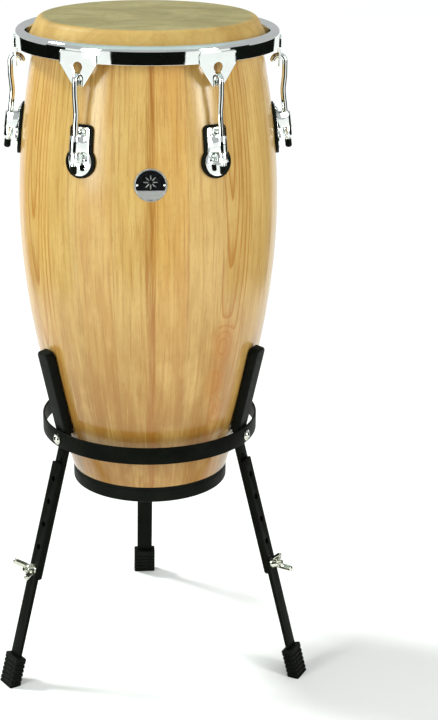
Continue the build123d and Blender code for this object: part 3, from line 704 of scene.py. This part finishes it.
def ear_plate():
    """One flat ear with its keyhole, in its own plane: x across, y up, z outward."""
    top, low = DRUM_Z + 685.5 * MM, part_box("tension_hoop")[0].z
    shoulder = BAND_LOW - 1.5 * MM
    wide, narrow = 29.5 * MM, 8.3 * MM
    corners = [(-narrow, low), (narrow, low), (wide, shoulder), (wide, top), (-wide, top), (-wide, shoulder)]
    outline = rounded(corners, [2.5 * MM, 2.5 * MM, 3 * MM, 5 * MM, 5 * MM, 3 * MM])
    slot_z, slot_r = DRUM_Z + 653 * MM, 4.5 * MM
    lean = degrees(asin(slot_r / KEYHOLE_R))
    keyhole = arc((0, KEYHOLE_Z), KEYHOLE_R, lean - 90, 270 - lean, 26)
    keyhole += arc((0, slot_z), slot_r, 180, 360, 14)
    return plate_mesh(outline, [keyhole], SHEET, 0.45 * MM)


def tension_hoop():
    """Rolled rim and band, with six keyholed ears welded flush to it."""
    mid = HOOP_R - ROLL
    over = arc((mid, ROLL_Z), ROLL, 0, 180, 30)
    under = arc((mid, ROLL_Z), ROLL - SHEET, 180, 0, 24)
    lip = DRUM_Z + 677.9 * MM
    ease = 0.5 * MM
    band_end = arc((HOOP_R - ease, BAND_LOW + ease), ease, 0, -90, 4)
    band_end += arc((HOOP_R - SHEET + ease, BAND_LOW + ease), ease, -90, -180, 4)
    lip_r = mid - ROLL
    lip_end = arc((lip_r + SHEET - ease, lip + ease), ease, 0, -90, 4)
    lip_end += arc((lip_r + ease, lip + ease), ease, -90, -180, 4)
    profile = over[::-1] + band_end + under[::-1] + lip_end
    bm = lathe(bmesh.new(), profile, 360)
    bmesh.ops.recalc_face_normals(bm, faces=bm.faces)
    band = mesh_object("band", bm)
    drill = bmesh.new()
    for lug in LUGS:
        place = axes(LUG_OUT[lug] * (HOOP_R - 0.02) + UP * KEYHOLE_Z, UP, LUG_OUT[lug])
        spun([(0, 0), (KEYHOLE_R, 0), (KEYHOLE_R, 0.03), (0, 0.03)], place, drill, 48)
    bmesh.ops.recalc_face_normals(drill, faces=drill.faces)
    drills = mesh_object("drill", drill)
    cut = band.modifiers.new("keyholes", "BOOLEAN")
    cut.object, cut.operation, cut.solver = drills, "DIFFERENCE", "EXACT"
    whole = bmesh.new()
    whole.from_mesh(evaluated(band))
    bpy.data.objects.remove(drills)
    ear = ear_plate()
    for lug in LUGS:
        out = LUG_OUT[lug]
        add_mesh(whole, ear, axes(out * (HOOP_R - SHEET), UP.cross(out), out))
    return finish_mesh("tension_hoop_pressed", whole, "drum", CHROME, ["tension_hoop"])


def tension_rod(lug):
    """J-hooked rod with two soft knees and a rolled thread on its lower end."""
    joint = JOINTS[f"tuning_nut_{lug}_turn"]
    out, foot = LUG_OUT[lug], Vector(joint["pos_m"])
    down = Vector(joint["axis"]).normalized()
    side = UP.cross(out)
    crest_r, crest_z, hook = HOOP_R - SHEET / 2, DRUM_Z + 644 * MM, 9 * MM
    hooked = [out * (crest_r + u) + UP * (crest_z + v) for u, v in arc((0, 0), hook, 172, 0, 30)]
    knee_z = DRUM_Z + 602 * MM
    on_axis = foot - down * ((knee_z - foot.z) / -down.z)
    corners = [hooked[-1], out * 198.6 * MM + UP * (DRUM_Z + 624 * MM), on_axis]
    tip_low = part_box(f"rod_tip_{lug}")[0].z
    end = foot + down * ((foot.z - tip_low) / -down.z - 5 * MM)
    stem = softened_line([*corners, end], 60 * MM, 1.6 * MM)
    thread = 40 * MM
    stop = end - down * thread
    straight = divided([stop, end], THREAD_PITCH / 5)
    line = divided(hooked + stem[1:-1] + [stop], 2.4 * MM) + straight[1:]
    bm = rod_along(line, side, ROD_R, bmesh.new(), thread)
    return finish_mesh(f"tension_rod_{lug}_threaded", bm, f"rod_{lug}", CHROME,
                       [f"tension_rod_{lug}"], 60)


def rod_tip(lug):
    """Rubber thread guard: a ribbed collar and a rounded nose."""
    joint = JOINTS[f"tuning_nut_{lug}_turn"]
    foot, down = Vector(joint["pos_m"]), Vector(joint["axis"]).normalized()
    place = axes(foot, UP.cross(LUG_OUT[lug]), -down)
    top, low, r = -20.8 * MM, -33.0 * MM, 4.9 * MM
    profile = [(ROD_R, top - 3 * MM), (ROD_R, top), (r - 0.5 * MM, top), (r, top - 0.5 * MM)]
    for k in range(3):
        z = top - (2.0 + 1.6 * k) * MM
        profile += [(r, z), (r - 0.45 * MM, z - 0.4 * MM), (r, z - 0.8 * MM)]
    profile += arc((r - 3.6 * MM, low + 3.6 * MM), 3.6 * MM, 0, -90, 8) + [(0, low)]
    bm = spun(profile, place, bmesh.new(), 32)
    return finish_mesh(f"rod_tip_{lug}_moulded", bm, f"rod_{lug}", RUBBER, [f"rod_tip_{lug}"])


def badge_face():
    """A curved disc: black enamel field, raised rim, plain star of rays, and a lined lower segment."""
    low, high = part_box("badge")
    middle_z = (low.z + high.z) / 2
    azimuth = degrees(atan2((low.x + high.x) / 2, -(low.y + high.y) / 2))
    disc_r = (high.z - low.z) / 2
    field_r = disc_r - 2.0 * MM
    shell_r = radius_at(middle_z)

    def on_shell(u, v, lift):
        r = radius_at(middle_z + v) + lift
        a = radians(azimuth) + u / shell_r
        return Vector((r * sin(a), -r * cos(a), middle_z + v))

    def ring_band(bm, inner, outer, low_lift, high_lift, steps=120):
        rows = []
        ease = 0.25 * MM
        shape = [(inner, low_lift), (inner, high_lift - ease), (inner + ease, high_lift),
                 (outer - ease, high_lift), (outer, high_lift - ease), (outer, low_lift)]
        for i in range(steps):
            a = 2 * pi * i / steps
            rows.append([on_shell(r * cos(a), r * sin(a), lift) for r, lift in shape])
        return join_round(bm, [[bm.verts.new(p) for p in row] for row in rows])

    bm = ring_band(bmesh.new(), field_r, disc_r, 0.05 * MM, 1.0 * MM)
    finish_mesh("badge_rim", bm, "drum", BADGE_METAL, ["badge"])

    def dish(bm, radius, lift, rings=10, steps=96):
        turn = [2 * pi * i / steps for i in range(steps)]
        rows = [[bm.verts.new(on_shell(0, 0, lift))]]
        for r, height in [(radius * k / rings, lift) for k in range(1, rings + 1)] + [(radius, 0.05 * MM)]:
            rows.append([bm.verts.new(on_shell(r * cos(a), r * sin(a), height)) for a in turn])
        for inner_row, outer_row in zip(rows, rows[1:]):
            bridge(bm, outer_row, inner_row)
        return bm

    bm = dish(bmesh.new(), disc_r - 1.9 * MM, 0.55 * MM)
    finish_mesh("badge_field", bm, "drum", ENAMEL)
    split_v = -7.5 * MM

    def segment(bm):
        """The silver lower segment, with five fine engraved lines."""
        rows = []
        count = 46
        for j in range(count + 1):
            v = -field_r + 0.4 * MM + (split_v + field_r - 0.4 * MM) * j / count
            half = sqrt(max(field_r**2 - v**2, 0.0)) - 0.15 * MM
            line = 0.5 - 0.5 * cos(2 * pi * (v - split_v) / (1.9 * MM))
            lift = 0.62 * MM + 0.16 * MM * min(1.0, 2.2 * line)
            if j in (0, count):
                lift = 0.5 * MM
            rows.append([on_shell(half * (2 * i / 24 - 1), v, lift) for i in range(25)])
        made = [[bm.verts.new(p) for p in row] for row in rows]
        for lower, upper in zip(made, made[1:]):
            for i in range(24):
                bm.faces.new((lower[i], lower[i + 1], upper[i + 1], upper[i]))
        return bm

    finish_mesh("badge_segment", segment(bmesh.new()), "drum", BADGE_METAL)

    def rays(bm):
        """Eight plain rays round an open middle."""
        centre_v, inner, outer, half = 4.2 * MM, 3.0 * MM, 10.2 * MM, 0.95 * MM
        for k in range(8):
            a = 2 * pi * k / 8
            along, side = (cos(a), sin(a)), (-sin(a), cos(a))
            tops, feet = [], []
            for s, w in [(inner, 0.35), (inner + 1.2 * MM, 0.8), (6.5 * MM, 1.0), (outer - 0.8 * MM, 0.55),
                         (outer, 0.12)]:
                for sign in (-1, 1):
                    u = along[0] * s + side[0] * half * w * sign
                    v = along[1] * s + side[1] * half * w * sign + centre_v
                    tops.append(bm.verts.new(on_shell(u, v, 0.86 * MM)))
                    feet.append(bm.verts.new(on_shell(u, v, 0.5 * MM)))
            for i in range(0, 8, 2):
                bm.faces.new((tops[i], tops[i + 1], tops[i + 3], tops[i + 2]))
                bm.faces.new((feet[i + 2], feet[i + 3], feet[i + 1], feet[i]))
                bm.faces.new((feet[i], tops[i], tops[i + 2], feet[i + 2]))
                bm.faces.new((tops[i + 1], feet[i + 1], feet[i + 3], tops[i + 3]))
            bm.faces.new((feet[0], feet[1], tops[1], tops[0]))
            bm.faces.new((tops[8], tops[9], feet[9], feet[8]))
        return bm

    finish_mesh("badge_rays", rays(bmesh.new()), "drum", BADGE_METAL)


# =====================================================================================
# stand
# =====================================================================================
def leg_place(leg):
    """Frame at the clamp bolt, on the fixed bar's middle line: x across, y up the leg, z outward."""
    joint = JOINTS[f"wing_{leg}_turn"]
    return axes(Vector(joint["pos_m"]), UP.cross(LEG_OUT[leg]), Vector(joint["axis"]))


def stand_ring():
    ease = 1.2 * MM
    inner = RING_R - 3 * MM
    corners = [(inner, RING_LOW), (RING_R, RING_LOW), (RING_R, RING_HIGH), (inner, RING_HIGH)]
    bm = lathe(bmesh.new(), rounded(corners, ease, 4), 200)
    return finish_mesh("stand_ring_rolled", bm, "stand", STEEL, ["stand_ring"])


def lower_leg(leg):
    """Sliding flat bar with five separate height holes."""
    pitch, first, hole_r = 36.5 * MM, 25 * MM, 4.5 * MM
    top = 4 * pitch + first
    low_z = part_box(f"lower_leg_{leg}")[0].z
    clamp = Vector(JOINTS[f"wing_{leg}_turn"]["pos_m"])
    reach = (clamp.z - low_z) / -LEG_DOWN[leg].z - 1.3 * MM
    half = BAR_WIDE / 2
    outline = rounded([(-half, -reach), (half, -reach), (half, top), (-half, top)], 2 * MM)
    holes = [arc((0, k * pitch), hole_r, 0, 360 - 10, 35) for k in range(5)]
    gap = 0.08 * MM  # keeps it clear of the fixed bar all the way down
    mesh = plate_mesh(outline, holes, BAR_THICK - gap, 0.7 * MM)
    bm = bmesh.new()
    add_mesh(bm, mesh, leg_place(leg) @ Matrix.Translation((0, 0, BAR_THICK / 2 + gap)))
    return finish_mesh(f"lower_leg_{leg}_drilled", bm, f"leg_{leg}", STEEL,
                       [f"lower_leg_{leg}"])


def rubber_foot(leg):
    """Moulded block over the leg's end: six rows of small studs between grooves, level sole."""
    wide, thick, tall = 35 * MM, 18 * MM, 46 * MM
    rows, groove, corner, crown = 6, 1.5 * MM, 2.2 * MM, 4.2 * MM
    down = LEG_DOWN[leg]
    normal = leg_place(leg).to_3x3() @ UP
    base = Vector(JOINTS[f"wing_{leg}_turn"]["pos_m"]) + normal * BAR_THICK
    base += down * (base.z / -down.z)
    side = UP.cross(LEG_OUT[leg]).normalized()
    half_w, half_t = wide / 2 - corner, thick / 2 - corner
    per_corner, per_wide, per_thick = 5, 24, 12
    # round the section: a corner on its arc, then the straight run that follows it
    section = []
    for cx, cy, start, nx, ny, count in [
            (half_w, half_t, 0, -1, 0, per_wide), (-half_w, half_t, 90, 0, -1, per_thick),
            (-half_w, -half_t, 180, 1, 0, per_wide), (half_w, -half_t, 270, 0, 1, per_thick)]:
        for k in range(per_corner + 1):
            a = radians(start + 90 * k / per_corner)
            section.append((cx + corner * cos(a), cy + corner * sin(a), cos(a), sin(a), -1.0))
        run = 2 * (half_w if nx else half_t)
        end_x, end_y, out_x, out_y, _ = section[-1]
        for k in range(1, count):
            share = k / count
            section.append((end_x + nx * run * share, end_y + ny * run * share, out_x, out_y, share))
    pitch = (tall - 4 * MM) / rows
    rings = []
    steps = 60
    for j in range(steps + 1):
        h = -6 * MM + (tall + 6 * MM) * j / steps
        phase = ((h - 0.5 * MM) / pitch) % 1.0
        dip = 1.0 if phase < 0.26 else 0.0
        if h > tall - crown or h < 0.5 * MM:
            dip = 0.0
        top_ease = max(0.0, (h - (tall - 1.6 * MM)) / (1.6 * MM))
        ring = []
        for px, py, nx, ny, share in section:
            depth = groove * dip
            if share >= 0 and not dip:
                count = 5 if abs(ny) > 0.5 else 3
                stud = (share * count) % 1.0
                near_joint = min(stud, 1 - stud) * (wide if abs(ny) > 0.5 else thick) / count
                in_rows = 0.5 * MM < h < tall - crown
                cut = in_rows and near_joint < 0.55 * MM and 0.02 < share < 0.98
                depth = groove * 0.8 if cut else 0.0
            depth += 1.3 * MM * top_ease**2
            point = base - down * h + side * (px - nx * depth) + normal * (py - ny * depth)
            if point.z < 0:
                point += down * (point.z / -down.z)
            ring.append(point)
        rings.append(ring)
    bm = loft(rings, bmesh.new())
    return finish_mesh(f"rubber_foot_{leg}_studded", bm, f"leg_{leg}", RUBBER,
                       [f"rubber_foot_{leg}"], 30)


def wing_nut(leg):
    """Pressed wing nut: flared hub and two raised wings, each a rounded rim round a thin dished web."""
    seat = BAR_THICK * 1.5 + 1.6 * MM
    turned = Matrix.Rotation(radians(WING_TURN[leg]), 4, "Z")
    spin = leg_place(leg) @ turned @ Matrix.Translation((0, 0, seat))
    bm = bmesh.new()
    bore = 4.05 * MM
    hub = [(bore, 0.4 * MM), (bore + 0.5 * MM, 0), (8.0 * MM, 0), (8.6 * MM, 0.5 * MM), (8.6 * MM, 2.2 * MM),
           (7.9 * MM, 3.1 * MM), (7.3 * MM, 9.2 * MM), (6.7 * MM, 10.5 * MM), (5.8 * MM, 11.0 * MM),
           (bore + 0.5 * MM, 11.0 * MM), (bore, 10.5 * MM), (bore, 0.4 * MM)]
    spun(hub, spin, bm, 40)
    rim_line = [(5.5, 0.8), (11.5, 3.5), (16.2, 8.6), (19.8, 13.6), (23.2, 18.6), (23.9, 21.6), (22.3, 24.0),
                (18.6, 23.9), (15.6, 21.6), (12.2, 17.2), (9.5, 14.0), (5.5, 11.0)]
    dish_line = [(6.9, 4.0), (10.8, 5.4), (15.0, 9.8), (18.4, 14.6), (21.6, 19.4), (21.8, 21.2), (20.8, 22.0),
                 (18.8, 21.6), (16.8, 20.0), (13.4, 15.8), (10.6, 12.6), (6.9, 9.6)]
    outline = rounded([(x * MM, y * MM) for x, y in rim_line], 1.4 * MM, 3)
    dish = rounded([(x * MM, y * MM) for x, y in dish_line], 0.6 * MM, 3)
    rim_thick, web_thick = 6.2 * MM, 2.2 * MM
    for thick, parts in ((rim_thick, plate_mesh(outline, [dish], rim_thick, 0.85 * MM, 4)),
                         (web_thick, plate_mesh(outline, [], web_thick, 0.3 * MM, 1))):
        for flip in (0, pi):
            upright = Matrix.Rotation(flip, 4, "Z") @ Matrix.Rotation(pi / 2, 4, "X")
            add_mesh(bm, parts, spin @ upright @ Matrix.Translation((0, 0, -thick / 2)))
    return finish_mesh(f"wing_nut_{leg}_pressed", bm, f"wing_{leg}", ZINC, [f"wing_nut_{leg}"], 50)


def clamp_bolts():
    """Carriage bolts: dome head inside the fixed bar, threaded end through the wing nut."""
    dome = [(0, -4.0), (3.0, -3.6), (5.6, -2.5), (7.4, -1.0), (8.0, -0.1), (7.9, 0), (0, 0)]
    thread = 18 * MM
    bm = bmesh.new()
    for leg in LEGS:
        place = leg_place(leg)
        head = place @ Matrix.Translation((0, 0, -BAR_THICK / 2))
        spun([(r * MM, h * MM) for r, h in dome], head, bm, 40)
        start = place @ Vector((0, 0, -BAR_THICK / 2))
        end = place @ Vector((0, 0, BAR_THICK * 1.5 + 17.6 * MM))
        along = (end - start).normalized()
        line = divided([start, end - along * thread], 3 * MM)
        line += divided([end - along * thread, end], THREAD_PITCH / 5)[1:]
        rod_along(line, UP.cross(LEG_OUT[leg]), 4 * MM, bm, thread)
    return finish_mesh("clamp_bolts_threaded", bm, "stand", ZINC, ["clamp_bolts"], 60)


# =====================================================================================
# build every piece
# =====================================================================================
SHELL = shell_outline()
drum_shell()
bottom_rubber()
drumhead()
tension_hoop()
badge_face()
for lug in LUGS:
    tension_rod(lug)
    rod_tip(lug)
    refined(f"tuning_nut_{lug}", 0.35 * MM, CHROME)
    refined(f"lug_plate_{lug}", 0.5 * MM, CHROME, 40)
stand_ring()
for leg in LEGS:
    refined(f"stand_post_{leg}", 0.7 * MM, STEEL, 40)
    refined(f"arm_sleeve_{leg}", 0.0, RUBBER)
    lower_leg(leg)
    rubber_foot(leg)
    wing_nut(leg)
clamp_bolts()
refined("lug_gaskets", 0.5 * MM, RUBBER, 60)
refined("lug_bolts", 0.0, CHROME)
for node in ("tuning_washers", "ring_washers", "ring_nuts", "clamp_washers", "ring_spacers"):
    refined(node, 0.2 * MM, ZINC, 60)
refined("ring_bolts", 0.0, ZINC)
refined("stop_rivets", 0.0, STEEL)
refined("badge_pins", 0.0, BADGE_METAL)
for node in ("flesh_hoop", "lug_backing_washers", "lug_backing_nuts"):
    cad = frame["nodes"][node].data
    cad.materials.clear()
    cad.materials.append(ZINC)


# =====================================================================================
# floor, light and camera
# =====================================================================================
def add_floor():
    bm = bmesh.new()
    bmesh.ops.create_grid(bm, x_segments=12, y_segments=12, size=30.0)
    floor = mesh_object("floor", bm)
    floor.data.materials.append(floor_paint())


def reflected_card(name, corners, tint):
    """A studio card that only mirror reflections see."""
    mesh = bpy.data.meshes.new(name)
    mesh.from_pydata(corners, [], [(0, 1, 2, 3)])
    mesh.materials.append(Graph(name).done(Base_Color=tint, Roughness=0.9, Specular_IOR_Level=0.0))
    card = new_object(name, mesh)
    card.visible_camera = card.visible_diffuse = card.visible_shadow = False


def dark_card(name, azimuth, distance, wide, low, high):
    """An upright black flag facing the drum."""
    out = outward(azimuth)
    side = UP.cross(out)
    ends = [(-1, low), (1, low), (1, high), (-1, high)]
    corners = [out * distance + side * s * wide / 2 + UP * h for s, h in ends]
    reflected_card(name, corners, (0.004, 0.005, 0.004))


def softbox(name, azimuth, high, size, power, tint):
    """An upright area light aimed at the shell's waist."""
    place, target = outward(azimuth) * 2.4 + UP * high, Vector((0, 0, 0.85))
    light = bpy.data.lights.new(name, "AREA")
    light.shape, light.size, light.size_y = "RECTANGLE", size[0], size[1]
    light.energy, light.color = power, tint
    lamp = new_object(name, light)
    lamp.location = place
    lamp.rotation_euler = (target - place).to_track_quat("-Z", "Y").to_euler()


def studio():
    world = bpy.data.worlds.new("studio")
    bpy.context.scene.world = world
    world.use_nodes = True
    background = world.node_tree.nodes["Background"]
    background.inputs["Color"].default_value = (0.965, 0.985, 1.0, 1.0)
    background.inputs["Strength"].default_value = 0.52
    sun = bpy.data.lights.new("sun", "SUN")
    sun.energy, sun.angle, sun.color = 2.85, radians(12), (0.97, 1.0, 0.965)
    high_left = new_object("sun", sun)
    high_left.rotation_euler = (outward(-113) + UP * 0.95).to_track_quat("Z", "Y").to_euler()
    softbox("softbox_left", -48, 1.30, (0.66, 1.6), 31, (0.90, 1.0, 0.93))
    softbox("softbox_right", 52, 1.50, (0.60, 1.1), 32, (0.97, 1.0, 0.97))
    dark_card("flag_front", 0, 1.5, 1.75, 0.02, 1.04)
    dark_card("flag_left", -109, 1.5, 1.60, 0.02, 0.90)
    dark_card("flag_right", 109, 1.5, 1.50, 0.02, 0.90)
    dark_card("flag_left_tall", -80, 1.45, 0.55, 0.02, 1.16)
    dark_card("flag_right_tall", 80, 1.45, 0.55, 0.02, 1.16)
    ceiling = [Vector((x, y, 2.5)) for x, y in ((-1.3, -1.3), (1.3, -1.3), (1.3, 1.3), (-1.3, 1.3))]
    reflected_card("ceiling", ceiling, (0.40, 0.47, 0.46))


def camera():
    """The eye stands 2.57 m in front of the drum's axis and 1.37 m up, looking slightly right and down."""
    back, high = 2.5711, 1.3718
    pitch, yaw, roll = radians(19.172), radians(2.374), radians(0.4865)
    ahead = Vector((sin(yaw) * cos(pitch), cos(yaw) * cos(pitch), -sin(pitch)))
    right = Vector((cos(yaw), -sin(yaw), 0))
    above = right.cross(ahead)
    tilted_right = right * cos(roll) + above * sin(roll)
    tilted_up = above * cos(roll) - right * sin(roll)
    data = bpy.data.cameras.new("camera")
    data.sensor_width, data.lens = 36.0, 88.755
    data.clip_end = 100.0
    eye = new_object("camera", data)
    matrix = Matrix((tilted_right, tilted_up, -ahead)).transposed().to_4x4()
    matrix.translation = (0, -back, high)
    eye.matrix_world = matrix
    bpy.context.scene.camera = eye


add_floor()
studio()
camera()
bpy.context.scene.view_settings.view_transform = "Standard"
